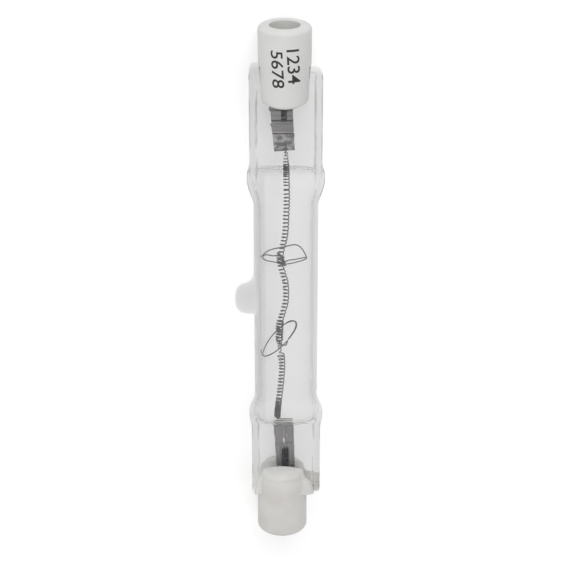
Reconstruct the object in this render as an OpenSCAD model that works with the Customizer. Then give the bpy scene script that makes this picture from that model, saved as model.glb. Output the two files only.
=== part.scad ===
// Double-ended linear halogen lamp, lying on its side
// The lamp's axis runs along X. Left is the end at minus X.
// Each end is built outward from the middle of the lamp, and the left one is mirrored.

/* [Lamp] */
// Length over both caps
lamp_len = 78; // [74:1:120]

/* [Glass tube] */
// Outer diameter of the round tube
tube_d = 9.05; // [8.6:0.05:9.6]
// Wall of the round tube
tube_wall = 0.95; // [0.6:0.05:1]

/* [Shoulders] */
// How far each side of a shoulder swells past its pinch
shoulder_swell = 0.4; // [0.1:0.05:0.7]
// Thickness of the swollen glass beside a pinch
shoulder_t = 7.8; // [6.8:0.1:8.2]
// Length from the pinch to the widest place
neck_len = 2.1; // [1.6:0.1:2.8]
// Length from the widest place to the tube at the left
left_taper_len = 4; // [3:0.1:5]
// Length from the widest place to the tube at the right
right_taper_len = 3; // [2:0.1:4]
// Glass between the start of a pinch and the hollow
seal_depth = 0.8; // [0.5:0.1:1]

/* [Pinch seals] */
// Width of the flat pinch
pinch_w = 10; // [9.6:0.1:10.6]
// Thickness of the flat web
pinch_t = 2.4; // [2.2:0.1:2.8]
// Width of the ridge along each edge
rib_w = 0.9; // [0.6:0.1:1]
// Thickness over the ridges
rib_t = 3.3; // [2.9:0.1:3.8]
// Radius of the pinch's outer corners
pinch_corner_r = 1; // [0.6:0.1:1.4]
// Length of the left pinch
left_pinch_len = 13.4; // [12:0.1:14.5]
// Length of the right pinch
right_pinch_len = 10.9; // [10:0.1:12]

/* [Exhaust tip] */
// Diameter of the closed tip
tip_d = 4.5; // [4:0.1:5]
// How far the tip stands out from the tube
tip_reach = 2.7; // [2.2:0.1:3.2]
// Radius of the tip's rounded edge
tip_round_r = 1.7; // [1.2:0.1:1.9]
// Radius of the glass drawn out at the tip's left side
tip_root_r = 1.4; // [0.8:0.1:2]
// Distance of the tip from the middle of the lamp, to the right
tip_offset = 1.2; // [0:0.1:3]

/* [Ceramic caps] */
// Diameter of a cap
cap_d = 7.2; // [7:0.1:7.6]
// Radius of the rounded edge at a cap's end face
cap_edge_r = 0.7; // [0.3:0.1:1]
// Length from the end face to the floor of the slot
cap_head_len = 6.25; // [5.5:0.05:7]
// Length of the two legs beside the pinch
cap_leg_len = 4.55; // [3.5:0.05:5.5]
// How far the crown of a leg's end stands out
leg_crown = 0.7; // [0.3:0.1:1.2]
// Cement layer between a pinch and its cap
cement_gap = 0.25; // [0.15:0.05:0.4]
// Length of the cement bead squeezed out beside the right cap's leg
bead_len = 2.8; // [2:0.1:3.4]
// Width of that bead
bead_w = 1.5; // [1:0.1:1.7]
// Height of that bead over the pinch's web
bead_h = 0.55; // [0.3:0.05:0.8]
// Diameter of the contact recess in the end face
recess_d = 4.15; // [3.9:0.05:4.5]
// Depth of the contact recess
recess_depth = 2; // [1.5:0.1:2.4]
// Diameter of the hole for the lead
lead_bore_d = 2.2; // [2.2:0.1:2.5]
// Shift of the left cap across the pinch
left_cap_shift = -0.15; // [-0.3:0.05:0.3]
// Shift of the right cap across the pinch
right_cap_shift = -0.5; // [-0.5:0.05:0.3]

/* [Contacts] */
// Diameter of the contact's face
contact_d = 3.3; // [3:0.1:3.6]
// Thickness of the contact's plate
contact_t = 0.7; // [0.5:0.1:1]
// Length of the contact's stem behind the plate
stem_len = 1.4; // [1:0.1:2]
// Height of the dome on the contact's face
contact_dome = 0.15; // [0.05:0.05:0.3]

/* [Sealed foils] */
// Length of a foil
foil_len = 7.4; // [6.8:0.1:8]
// Width of a foil
foil_w = 2.95; // [2.6:0.05:3.4]
// Thickness of a foil
foil_t = 0.05; // [0.03:0.01:0.08]
// Distance of the left foil from the start of its pinch
left_foil_inset = 2; // [1.4:0.1:2.6]
// Distance of the right foil from the start of its pinch
right_foil_inset = 0.4; // [0.3:0.1:1]
// Shift of the left foil across the pinch
left_foil_shift = -0.45; // [-0.6:0.05:0.4]
// Shift of the right foil across the pinch
right_foil_shift = 0; // [-0.3:0.05:0.3]
// Slant of the left foil in degrees, outward
left_foil_slant = -4.6; // [-6:0.2:6]
// Slant of the right foil in degrees, outward
right_foil_slant = 3.4; // [-6:0.2:6]

/* [Leads] */
// Diameter of an outer lead
lead_d = 0.7; // [0.5:0.05:0.75]
// Diameter of the crushed end that is welded to the foil
weld_d = 0.9; // [0.8:0.05:1]
// Length of the left lead on its foil
left_lead_lap = 2.6; // [2:0.1:3.4]
// Length of the right lead on its foil
right_lead_lap = 3.8; // [3:0.1:4.4]
// Shift of the left lead across the pinch
left_lead_shift = -0.25; // [-0.3:0.05:0.1]
// Shift of the right lead across the pinch
right_lead_shift = 0; // [-0.3:0.05:0.1]
// Length of an inner lead on its foil
inner_lap = 2.4; // [1.6:0.1:3]
// Length of an inner lead inside the filament
inner_grip = 1.6; // [1:0.1:2]

/* [Filament] */
// Outer diameter of the coil
coil_d = 0.82; // [0.78:0.02:0.96]
// Diameter of the coil's wire
coil_wire = 0.24; // [0.18:0.01:0.25]
// Pitch of the open turns
coil_pitch = 0.58; // [0.5:0.01:0.7]
// Pitch of the close turns at both ends
close_pitch = 0.28; // [0.27:0.01:0.34]
// Length of the close turns at the left
left_close_len = 2.5; // [1.5:0.1:3.5]
// Length of the close turns at the right
right_close_len = 2.6; // [1.5:0.1:3.5]
// How far the coil reaches into the left pinch
left_coil_inset = 0.7; // [0:0.1:1.2]
// How far the coil stays clear of the right pinch
right_coil_clear = 1.3; // [0.9:0.1:1.6]
// Sideways sag of the coil between its supports
coil_sag = 1; // [0.5:0.05:1.2]

/* [Filament supports] */
// Diameter of the support wire
support_wire = 0.18; // [0.12:0.01:0.2]
// Pitch of the clasp's turns round the coil
clasp_pitch = 0.38; // [0.34:0.01:0.5]
// Length of the left clasp
left_clasp_len = 1.9; // [1.2:0.1:2.6]
// Length of the right clasp
right_clasp_len = 3; // [2:0.1:3.6]
// Place of the left support along the coil, as a share
left_support_share = 0.365; // [0.3:0.005:0.42]
// Place of the right support along the coil, as a share
right_support_share = 0.665; // [0.6:0.005:0.72]
// Gap from the left ring to the tube's wall
left_ring_gap = 0.12; // [0.05:0.01:0.4]
// Gap from the right ring to the tube's wall
right_ring_gap = 0.05; // [0.05:0.01:0.4]
// Shift of the left ring across the tube
left_ring_shift = -0.25; // [-0.4:0.05:0.4]
// Lean of the right ring in degrees
right_ring_lean = 46; // [30:1:55]

/* [Hidden] */
$fn = 72;

// The two ends, as a direction along X
left = -1;
right = 1;

// Facets of lofted glass, of a turn of wire and of a wire's section
glass_sides = 44;
neck_steps = 6;
taper_steps = 5;
edge_steps = 6;
turn_steps = 10;
ring_steps = 32;
wire_sides = 4;
wire_start = [1, 0, 0.3]; // rough direction of a wire's first side

// Clearances
cut_over = 0.5;       // overrun of every cut
seal_gap = 0.02;      // round metal that is sealed in glass
grip_gap = 0.03;      // between the coil and what lies inside it or holds it in glass
clasp_gap = 0.05;     // between the coil and a clasp
contact_gap = 0.05;   // round a contact in its seat
rib_bury = 0.6;       // how far a pinch runs into its shoulder

// Width of the shoulders, and the hollow of the glass where it closes at a pinch
shoulder_w = pinch_w + 2 * shoulder_swell;
throat_w = pinch_w - 4 * rib_w;
throat_t = pinch_t / 4;

// Places outward from the middle of the lamp
cap_end = lamp_len / 2;
slot_floor = cap_end - cap_head_len;
leg_end = slot_floor - cap_leg_len;
pinch_end = slot_floor - cement_gap;
left_neck = pinch_end - left_pinch_len;
right_neck = pinch_end - right_pinch_len;
left_tube_end = left_neck - neck_len - left_taper_len;
right_tube_end = right_neck - neck_len - right_taper_len;
contact_face = cap_end - recess_depth;
stem_end = contact_face - contact_t - stem_len;

// Coil along X, with the wave that the photograph's filament has
coil_left = -left_neck - left_coil_inset;
coil_right = right_neck - right_coil_clear;
coil_len = coil_right - coil_left;
coil_r = (coil_d - coil_wire) / 2;
sag_softness_share = 0.02;
sag_shares = [
    [0, 0], [0.06, 0], [0.15, 0.15], [0.24, -0.13], [0.36, -0.97], [0.42, -0.55], [0.5, 0.02],
    [0.58, -0.41], [0.67, -1], [0.73, -0.56], [0.79, -0.27], [0.87, -0.71], [0.93, -1.05], [1, -1.05]
];
inner_lead_d = coil_d - 2 * coil_wire - 2 * grip_gap;
coil_rise = foil_t / 2 + seal_gap + inner_lead_d / 2;
lead_rise = foil_t / 2 + seal_gap + weld_d / 2;

// Support wires, whose rings take their size from the tube's bore
clasp_r = coil_d / 2 + clasp_gap + support_wire / 2;
bend_r = 2 * support_wire;
ring_turn_pitch = 2 * support_wire;
ring_reach = tube_d / 2 - tube_wall - support_wire / 2;
left_support_x = coil_left + coil_len * left_support_share;
right_support_x = coil_left + coil_len * right_support_share;
left_ring_r = ring_reach - left_ring_gap - abs(left_ring_shift);
right_ring_off = coil_sag * sag_at(right_support_share) / sin(right_ring_lean);
right_ring_r = sqrt(pow(ring_reach - right_ring_gap, 2) - pow(right_ring_off, 2));

// Roll that lets the tube and the exhaust tip rest on the ground together
tip_top = tube_d / 2 + tip_reach;
tip_core_r = tip_d / 2 - tip_round_r;
tip_core_y = tip_top - tip_round_r;
roll = asin((tube_d / 2 - tip_round_r) / norm([tip_core_y, tip_core_r])) - atan2(tip_core_r, tip_core_y);

// Reach to both sides once rolled, which puts the box's middle over the origin
tip_side = tip_core_y * cos(roll) + tip_core_r * sin(roll) + tip_round_r;
rib_side = (pinch_w - rib_w) / 2 * cos(roll) + (rib_t - rib_w) / 2 * sin(roll) + rib_w / 2;
shoulder_side = norm([shoulder_w * cos(roll), shoulder_t * sin(roll)]) / 2;
side_shift = (tip_side - max(rib_side, shoulder_side, tube_d / 2)) / 2;

function pick(side, at_left, at_right) = side < 0 ? at_left : at_right;
function mix(a, b, share) = a + (b - a) * share;
function unit(v) = v / norm(v);
function reversed(list) = [for (i = [len(list) - 1 : -1 : 0]) list[i]];

// Sideways place of the coil's axis at x
function sag_at(share) = (
    lookup(share - sag_softness_share, sag_shares)
    + 2 * lookup(share, sag_shares)
    + lookup(share + sag_softness_share, sag_shares)
) / 4;
function coil_y(x) = coil_sag * sag_at((x - coil_left) / coil_len);

module lie() {
    translate([0, side_shift, tube_d / 2])
        rotate([roll, 0, 0])
            children();
}

module outward(side) {
    mirror([side < 0 ? 1 : 0, 0, 0])
        children();
}

// Round bar along X between two places
module bar(from, to, d) {
    translate([from, 0, 0])
        rotate([0, 90, 0])
            cylinder(h = to - from, d = d);
}

// Closed skin over a row of rings with the same number of points
module skin(rings) {
    n = len(rings[0]);
    last = len(rings) - 1;
    polyhedron(
        points = [for (ring = rings) each ring],
        faces = concat(
            [[for (i = [0 : n - 1]) i]],
            [for (k = [0 : last - 1]) for (i = [0 : n - 1]) [k * n + i, k * n + n + i, k * n + n + (i + 1) % n]],
            [for (k = [0 : last - 1]) for (i = [0 : n - 1]) [k * n + i, k * n + n + (i + 1) % n, k * n + (i + 1) % n]],
            [[for (i = [n - 1 : -1 : 0]) last * n + i]]
        )
    );
}

// Rings of a round wire along a path, each turned as little as possible from the one before
function carried(u, t) = unit(u - (u * t) * t);
function headings(path) = [
    for (i = [0 : len(path) - 1])
        unit(path[min(i + 1, len(path) - 1)] - path[max(i - 1, 0)])
];
function wire_rings(path, d) = let (
    t = headings(path),
    start = carried(wire_start, t[0]),
    sides = [for (i = 0, u = start; i < len(path); i = i + 1, u = i < len(path) ? carried(u, t[i]) : u) u]
) [
    for (i = [0 : len(path) - 1])
        let (w = cross(t[i], sides[i]))
            [for (k = [0 : wire_sides - 1])
                let (a = 360 * (k + 0.5) / wire_sides)
                    path[i] + d / 2 * (cos(a) * sides[i] + sin(a) * w)]
];

module wire(path, d) {
    skin(wire_rings(path, d));
}

// Ellipse across X at a place
function oval(x, w, t) = [
    for (i = [0 : glass_sides - 1])
        let (a = 360 * i / glass_sides)
            [x, w / 2 * cos(a), t / 2 * sin(a)]
];

// Ovals of one shoulder, from its pinch over the widest place to the round tube
function shoulder_ovals(side, start, w0, t0, w1, t1, d) = let (
    neck = pick(side, left_neck, right_neck),
    finish = neck - pick(side, left_tube_end, right_tube_end)
) concat(
    [for (i = [0 : neck_steps])
        let (a = 90 * i / neck_steps)
            oval(side * (neck - mix(start, neck_len, 1 - cos(a))), mix(w0, w1, sin(a)), mix(t0, t1, sin(a)))],
    [for (i = [1 : taper_steps])
        let (share = i / taper_steps, eased = (1 - cos(180 * share)) / 2)
            oval(side * (neck - mix(neck_len, finish, share)), mix(w1, d, eased), mix(t1, d, eased))]
);

// Glass from pinch to pinch, and the hollow inside it
module blown_glass() {
    skin(concat(
        shoulder_ovals(left, 0, pinch_w, pinch_t, shoulder_w, shoulder_t, tube_d),
        reversed(shoulder_ovals(right, 0, pinch_w, pinch_t, shoulder_w, shoulder_t, tube_d))
    ));
}

module hollow() {
    both_walls = 2 * tube_wall;
    w = shoulder_w - both_walls;
    t = shoulder_t - both_walls;
    d = tube_d - both_walls;
    skin(concat(
        shoulder_ovals(left, seal_depth, throat_w, throat_t, w, t, d),
        reversed(shoulder_ovals(right, seal_depth, throat_w, throat_t, w, t, d))
    ));
}

// Flat pinch with a rounded ridge along each edge and rounded outer corners
module pinch_profile() {
    square([pinch_w - rib_w, pinch_t], center = true);
    for (across = [-1, 1])
        translate([across * (pinch_w - rib_w) / 2, 0]) {
            square([rib_w, rib_t - rib_w], center = true);
            for (up = [-1, 1])
                translate([0, up * (rib_t - rib_w) / 2])
                    circle(d = rib_w);
        }
}

module pinch_plan(from) {
    translate([from, -pinch_w / 2])
        square([pinch_end - pinch_corner_r - from, pinch_w]);
    translate([from, pinch_corner_r - pinch_w / 2])
        square([pinch_end - from, pinch_w - 2 * pinch_corner_r]);
    for (across = [-1, 1])
        translate([pinch_end - pinch_corner_r, across * (pinch_w / 2 - pinch_corner_r)])
            circle(r = pinch_corner_r);
}

module pinch(side) {
    from = pick(side, left_neck, right_neck) - rib_bury;
    outward(side)
        intersection() {
            translate([0, 0, -rib_t / 2 - cut_over])
                linear_extrude(height = rib_t + 2 * cut_over)
                    pinch_plan(from);
            translate([from - cut_over, 0, 0])
                rotate([90, 0, 90])
                    linear_extrude(height = pinch_end - from + 2 * cut_over)
                        pinch_profile();
        }
}

// Closed exhaust tip: a round stub with a rounded end, drawn out along the tube at its left
function tip_ring(y, r, drawn) = [
    for (i = [0 : glass_sides - 1])
        let (a = 360 * i / glass_sides)
            [tip_offset - drawn / 2 + (r + drawn / 2) * cos(a), -y, r * sin(a)]
];

module exhaust_tip() {
    foot_y = tube_d / 2;
    root = [
        for (i = [0 : edge_steps])
            let (a = 90 * i / edge_steps)
                tip_ring(foot_y + tip_root_r * (1 - cos(a)) * tip_reach / (tip_reach + tip_root_r),
                    tip_d / 2, tip_root_r * (1 - sin(a)))
    ];
    dome = [
        for (i = [1 : edge_steps])
            let (a = 90 * i / (edge_steps + 0.5))
                tip_ring(tip_core_y + tip_round_r * sin(a), tip_core_r + tip_round_r * cos(a), 0)
    ];
    skin(concat(
        [tip_ring(foot_y - tube_wall - cut_over, tip_d / 2, tip_root_r)],
        root,
        [tip_ring(tip_core_y, tip_d / 2, 0)],
        dome,
        [tip_ring(tip_top, tip_core_r, 0)]
    ));
}

module quartz_envelope() {
    color([0.85, 0.87, 0.87, 0.45])
        lie()
            difference() {
                union() {
                    blown_glass();
                    pinch(left);
                    pinch(right);
                    exhaust_tip();
                }
                hollow();
                for (side = [left, right]) {
                    foil(side, seal_gap);
                    outer_lead(side, seal_gap);
                    inner_lead(side, seal_gap);
                    coil_pocket(side);
                }
            }
}

// The coil's end turns sit in a round pocket where they reach into the pinch
module coil_pocket(side) {
    neck = pick(side, left_neck, right_neck);
    coil_end = pick(side, -coil_left, coil_right);
    outward(side)
        translate([0, coil_y(side * coil_end), coil_rise])
            bar(neck - neck_len, coil_end + coil_wire / 2 + grip_gap, coil_d + 2 * grip_gap);
}

module foil(side, gap) {
    neck = pick(side, left_neck, right_neck);
    inset = pick(side, left_foil_inset, right_foil_inset);
    shift = pick(side, left_foil_shift, right_foil_shift);
    slant = pick(side, left_foil_slant, right_foil_slant);
    outward(side)
        translate([neck + inset + foil_len / 2, shift, 0])
            rotate([0, 0, slant])
                cube([foil_len + 2 * gap, foil_w + 2 * gap, foil_t + 2 * gap], center = true);
}

// Outer lead: a crushed end on the foil and a thinner wire out to the contact's stem
module outer_lead(side, gap) {
    foil_end = pick(side, left_neck + left_foil_inset, right_neck + right_foil_inset) + foil_len;
    lap = pick(side, left_lead_lap, right_lead_lap);
    shift = pick(side, left_lead_shift, right_lead_shift);
    outward(side)
        translate([0, shift, lead_rise]) {
            bar(foil_end - lap - gap, foil_end + gap, weld_d + 2 * gap);
            bar(foil_end - lap, stem_end, lead_d + 2 * gap);
        }
}

// Inner lead: a straight wire on the foil that ends inside the coil
module inner_lead(side, gap) {
    foil_start = pick(side, left_neck + left_foil_inset, right_neck + right_foil_inset);
    coil_end = pick(side, -coil_left, coil_right);
    outward(side)
        translate([0, coil_y(side * coil_end), coil_rise])
            bar(coil_end - inner_grip, foil_start + inner_lap + gap, inner_lead_d + 2 * gap);
}

// Ceramic cap: a round head with a contact recess, and two legs with crowned ends
module cap_blank() {
    rotate([0, 90, 0])
        rotate_extrude()
            polygon(concat(
                [[0, leg_end], [cap_d / 2, leg_end]],
                [for (i = [0 : edge_steps])
                    let (a = 90 * i / edge_steps)
                        [cap_d / 2 - cap_edge_r * (1 - cos(a)), cap_end - cap_edge_r * (1 - sin(a))]],
                [[0, cap_end]]
            ));
}

// Plan of the whole cap, with an arched edge where the legs end
module cap_crown() {
    reach = cap_d / 2 + cut_over;
    linear_extrude(height = 2 * reach, center = true)
        polygon(concat(
            [for (i = [-edge_steps : edge_steps])
                let (y = reach * i / edge_steps)
                    [leg_end + leg_crown * pow(y / (cap_d / 2), 2), y]],
            [[cap_end + cut_over, reach], [cap_end + cut_over, -reach]]
        ));
}

module slot() {
    slot_t = pinch_t + 2 * cement_gap;
    translate([leg_end - cut_over, -cap_d / 2 - cut_over, -slot_t / 2])
        cube([slot_floor - leg_end + cut_over, cap_d + 2 * cut_over, slot_t]);
}

module ceramic_cap(side) {
    shift = pick(side, left_cap_shift, right_cap_shift);
    color([0.91, 0.90, 0.87])
        lie()
            outward(side)
                translate([0, shift, 0])
                    difference() {
                        intersection() {
                            cap_blank();
                            cap_crown();
                        }
                        slot();
                        bar(contact_face, cap_end + cut_over, recess_d);
                        bar(contact_face - contact_t, contact_face + cut_over, contact_d + 2 * contact_gap);
                        bar(slot_floor - cut_over, contact_face, lead_bore_d);
                    }
}

// Contact: a plate with a low dome, flush in the recess's floor, and a stem behind it
module contact(side) {
    shift = pick(side, left_cap_shift, right_cap_shift);
    plate_r = contact_d / 2;
    stem_r = lead_bore_d / 2 - contact_gap;
    plate_back = contact_face - contact_t;
    color([0.72, 0.71, 0.68])
        lie()
            outward(side)
                translate([0, shift, 0])
                    rotate([0, 90, 0])
                        rotate_extrude()
                            polygon(concat(
                                [[0, stem_end], [stem_r, stem_end], [stem_r, plate_back], [plate_r, plate_back]],
                                [for (i = [edge_steps : -1 : 0])
                                    let (share = i / edge_steps)
                                        [plate_r * share, contact_face - contact_dome * pow(share, 2)]]
                            ));
}

// Bead that fills the corner between the front leg's side and the pinch's ridge
module cement_bead() {
    inner_y = sqrt(pow(cap_d / 2 - cement_gap, 2) - pow(pinch_t / 2 + cement_gap, 2)) - cement_gap;
    difference() {
        linear_extrude(height = pinch_t / 2 + bead_h)
            polygon(concat(
                [[pinch_end, inner_y]],
                [for (i = [0 : edge_steps])
                    let (a = 90 * i / edge_steps)
                        [pinch_end - bead_len * sin(a), cap_d / 2 + bead_w * cos(a)]],
                [[pinch_end - bead_len, inner_y]]
            ));
        difference() {
            bar(leg_end - cut_over, cap_end, cap_d);
            slot();
        }
    }
}

// Cement: what fills the slot round the pinch, set back a little from the legs' ends
module cement(side) {
    shift = pick(side, left_cap_shift, right_cap_shift);
    color([0.93, 0.93, 0.90])
        lie()
            difference() {
                outward(side)
                    translate([0, shift, 0])
                        union() {
                            intersection() {
                                bar(leg_end + leg_crown, slot_floor, cap_d - 2 * cement_gap);
                                slot();
                            }
                            if (side == right)
                                cement_bead();
                        }
                pinch(side);
                outer_lead(side, seal_gap);
            }
}

// Coil: close turns, open turns and close turns, all along one waving axis
function coil_zone(from, length, pitch, angle) = let (steps = ceil(turn_steps * length / pitch)) [
    for (i = [0 : steps - 1])
        let (x = from + length * i / steps, a = angle + 360 * length / pitch * i / steps)
            [x, coil_y(x) + coil_r * cos(a), coil_rise + coil_r * sin(a)]
];

module filament() {
    open_len = coil_len - left_close_len - right_close_len;
    open_angle = 360 * left_close_len / close_pitch;
    right_angle = open_angle + 360 * open_len / coil_pitch;
    color([0.38, 0.38, 0.39])
        lie()
            wire(concat(
                coil_zone(coil_left, left_close_len, close_pitch, 0),
                coil_zone(coil_left + left_close_len, open_len, coil_pitch, open_angle),
                coil_zone(coil_right - right_close_len, right_close_len, close_pitch, right_angle)
            ), coil_wire);
}

// Turns of a support's clasp round the coil
function clasp(from, length, angle) = let (steps = ceil(turn_steps * length / clasp_pitch)) [
    for (i = [0 : steps])
        let (x = from + length * i / steps, a = angle + 360 * length / clasp_pitch * i / steps)
            [x, coil_y(x) + clasp_r * cos(a), coil_rise + clasp_r * sin(a)]
];

// Left support: an arm, a ring of one and a half turns, an arm and a clasp
module left_filament_support() {
    middle = left_support_x;
    clasp_from = middle - left_clasp_len / 2;
    axis_y = coil_y(clasp_from);
    ring = [
        for (i = [1 : ring_steps * 3 / 2 - 1])
            let (a = 360 * i / ring_steps)
                [middle - ring_turn_pitch * i / ring_steps,
                    left_ring_shift + left_ring_r * cos(a), left_ring_r * sin(a)]
    ];
    color([0.45, 0.45, 0.46])
        lie()
            wire(concat(
                [[middle, coil_y(middle) + clasp_r + 2 * support_wire, coil_rise]],
                [[middle, left_ring_shift + left_ring_r - bend_r, 0]],
                ring,
                [[middle - 3 / 2 * ring_turn_pitch, left_ring_shift - left_ring_r + bend_r, 0]],
                [[clasp_from, axis_y - clasp_r - bend_r, coil_rise]],
                clasp(clasp_from, left_clasp_len, 180)
            ), support_wire);
}

// Right support: a clasp, an arm toward the front and one leaning ring
module right_filament_support() {
    clasp_from = right_support_x - right_clasp_len / 2;
    middle = right_support_x + right_clasp_len / 4;
    axis_y = coil_y(right_support_x);
    clasp_turns = clasp(clasp_from, right_clasp_len, 90 - 360 * right_clasp_len / clasp_pitch);
    clasp_to = clasp_from + right_clasp_len;
    ring = [
        for (i = [0 : ring_steps - 2])
            let (
                a = 90 + 360 * (i + 0.5) / ring_steps,
                r = right_ring_r - ring_turn_pitch * i / ring_steps,
                across = r * cos(a)
            )
                [middle - across * sin(right_ring_lean), axis_y + across * cos(right_ring_lean), r * sin(a)]
    ];
    color([0.45, 0.45, 0.46])
        lie()
            wire(concat(
                clasp_turns,
                [[clasp_to + bend_r, coil_y(clasp_to), coil_rise + clasp_r + bend_r]],
                [[middle, axis_y, right_ring_r - bend_r]],
                ring
            ), support_wire);
}

quartz_envelope();
ceramic_cap(left);  // left_ceramic_cap
ceramic_cap(right);  // right_ceramic_cap
contact(left);  // left_contact
contact(right);  // right_contact
cement(left);  // left_cement
cement(right);  // right_cement
color([0.5, 0.49, 0.48]) lie() foil(left, 0);  // left_foil
color([0.5, 0.49, 0.48]) lie() foil(right, 0);  // right_foil
color([0.3, 0.3, 0.32]) lie() outer_lead(left, 0);  // left_outer_lead
color([0.3, 0.3, 0.32]) lie() outer_lead(right, 0);  // right_outer_lead
color([0.5, 0.5, 0.5]) lie() inner_lead(left, 0);  // left_inner_lead
color([0.5, 0.5, 0.5]) lie() inner_lead(right, 0);  // right_inner_lead
filament();
left_filament_support();
right_filament_support();
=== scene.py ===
import math
import random

import bmesh
import bpy
from mathutils import Matrix, Vector, noise


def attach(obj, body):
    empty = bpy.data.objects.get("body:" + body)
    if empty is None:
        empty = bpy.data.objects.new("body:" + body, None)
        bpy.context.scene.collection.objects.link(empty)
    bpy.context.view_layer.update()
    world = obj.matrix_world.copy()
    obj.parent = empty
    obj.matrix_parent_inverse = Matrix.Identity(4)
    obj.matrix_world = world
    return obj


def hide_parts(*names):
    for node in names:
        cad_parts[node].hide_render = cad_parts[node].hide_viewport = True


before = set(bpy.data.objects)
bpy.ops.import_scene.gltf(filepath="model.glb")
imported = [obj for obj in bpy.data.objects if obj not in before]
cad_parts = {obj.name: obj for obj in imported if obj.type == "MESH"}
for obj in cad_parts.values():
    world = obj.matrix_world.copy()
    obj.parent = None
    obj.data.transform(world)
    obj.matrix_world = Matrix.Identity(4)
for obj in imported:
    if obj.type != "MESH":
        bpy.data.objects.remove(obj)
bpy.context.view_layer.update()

# A double-ended halogen lamp on its side. Sizes are in mm along the lamp's own axes and
# lie() puts them in the frame. The end at minus X is the upper end of the picture.
mm = 0.001
scene = bpy.context.scene
left, right = -1, 1
rest = {
    "tubeR": 4.525, "tipTop": 7.225, "tipEdgeR": 1.7, "tipR": 2.25,
    "shoulder": (10.8, 7.8),
}
tipCoreR = rest["tipR"] - rest["tipEdgeR"]
tipCoreY = rest["tipTop"] - rest["tipEdgeR"]
roll = math.asin((rest["tubeR"] - rest["tipEdgeR"]) / math.hypot(tipCoreY, tipCoreR))
roll -= math.atan2(tipCoreR, tipCoreY)
rollCos, rollSin = math.cos(roll), math.sin(roll)
tipSide = tipCoreY * rollCos + tipCoreR * rollSin + rest["tipEdgeR"]
shoulderSide = math.hypot(rest["shoulder"][0] * rollCos, rest["shoulder"][1] * rollSin) / 2
sideShift = (tipSide - shoulderSide) / 2


def lie(x, y, z):
    return Vector((
        x,
        sideShift + y * rollCos - z * rollSin,
        rest["tubeR"] + y * rollSin + z * rollCos,
    )) * mm


def placed(name, data):
    made = bpy.data.objects.new(name, data)
    scene.collection.objects.link(made)
    return made


# The camera looks at the middle of the axis from the picture's angle
view = {"lean": math.radians(25.27), "distance": 255.45, "lens": 114.25, "shift": (-0.00335, 0.01155)}
leanCos, leanSin = math.cos(view["lean"]), math.sin(view["lean"])
toCamera = Vector((-leanSin, -rollSin * leanCos, rollCos * leanCos))
cameraUp = Vector((-leanCos, rollSin * leanSin, -rollCos * leanSin))
cameraRight = cameraUp.cross(toCamera)
cameraData = bpy.data.cameras.new("camera")
cameraData.lens = view["lens"]
cameraData.sensor_width = 36
cameraData.shift_x, cameraData.shift_y = view["shift"]
cameraData.clip_start, cameraData.clip_end = 0.01, 10
camera = placed("camera", cameraData)
turn = Matrix((cameraRight, cameraUp, toCamera)).transposed().to_4x4()
camera.matrix_world = Matrix.Translation(lie(0, 0, 0) + toCamera * view["distance"] * mm) @ turn
scene.camera = camera
print("camera set")


# Shader maths: sums and products of sockets add Math nodes
class Socket:
    def __init__(self, finish, socket):
        self.finish, self.socket = finish, socket

    def math(self, operation, *values):
        return self.finish.node("ShaderNodeMath", {"operation": operation}, values)

    def __add__(self, other):
        return self.math("ADD", self, other)

    def __radd__(self, other):
        return self.math("ADD", other, self)

    def __sub__(self, other):
        return self.math("SUBTRACT", self, other)

    def __rsub__(self, other):
        return self.math("SUBTRACT", other, self)

    def __mul__(self, other):
        return self.math("MULTIPLY", self, other)

    def __rmul__(self, other):
        return self.math("MULTIPLY", other, self)

    def __pow__(self, other):
        return self.math("POWER", self, other)

    def size(self):
        return self.math("ABSOLUTE", self)

    def wave(self):
        return self.math("SINE", self)

    def most(self, other):
        return self.math("MAXIMUM", self, other)

    # 0 below low, 1 above high and smooth between
    def rise(self, low, high):
        return self.finish.node("ShaderNodeMapRange", {"interpolation_type": "SMOOTHSTEP"},
                                {"Value": self, "From Min": low, "From Max": high})

    # 1 nearer to the place than low, 0 farther from it than high
    def near(self, place, low, high):
        return 1 - (self - place).size().rise(low, high)

    def mix(self, first, second):
        return self.finish.node("ShaderNodeMix", {"data_type": "RGBA"},
                                {0: self, 6: first, 7: second}, 2)


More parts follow.
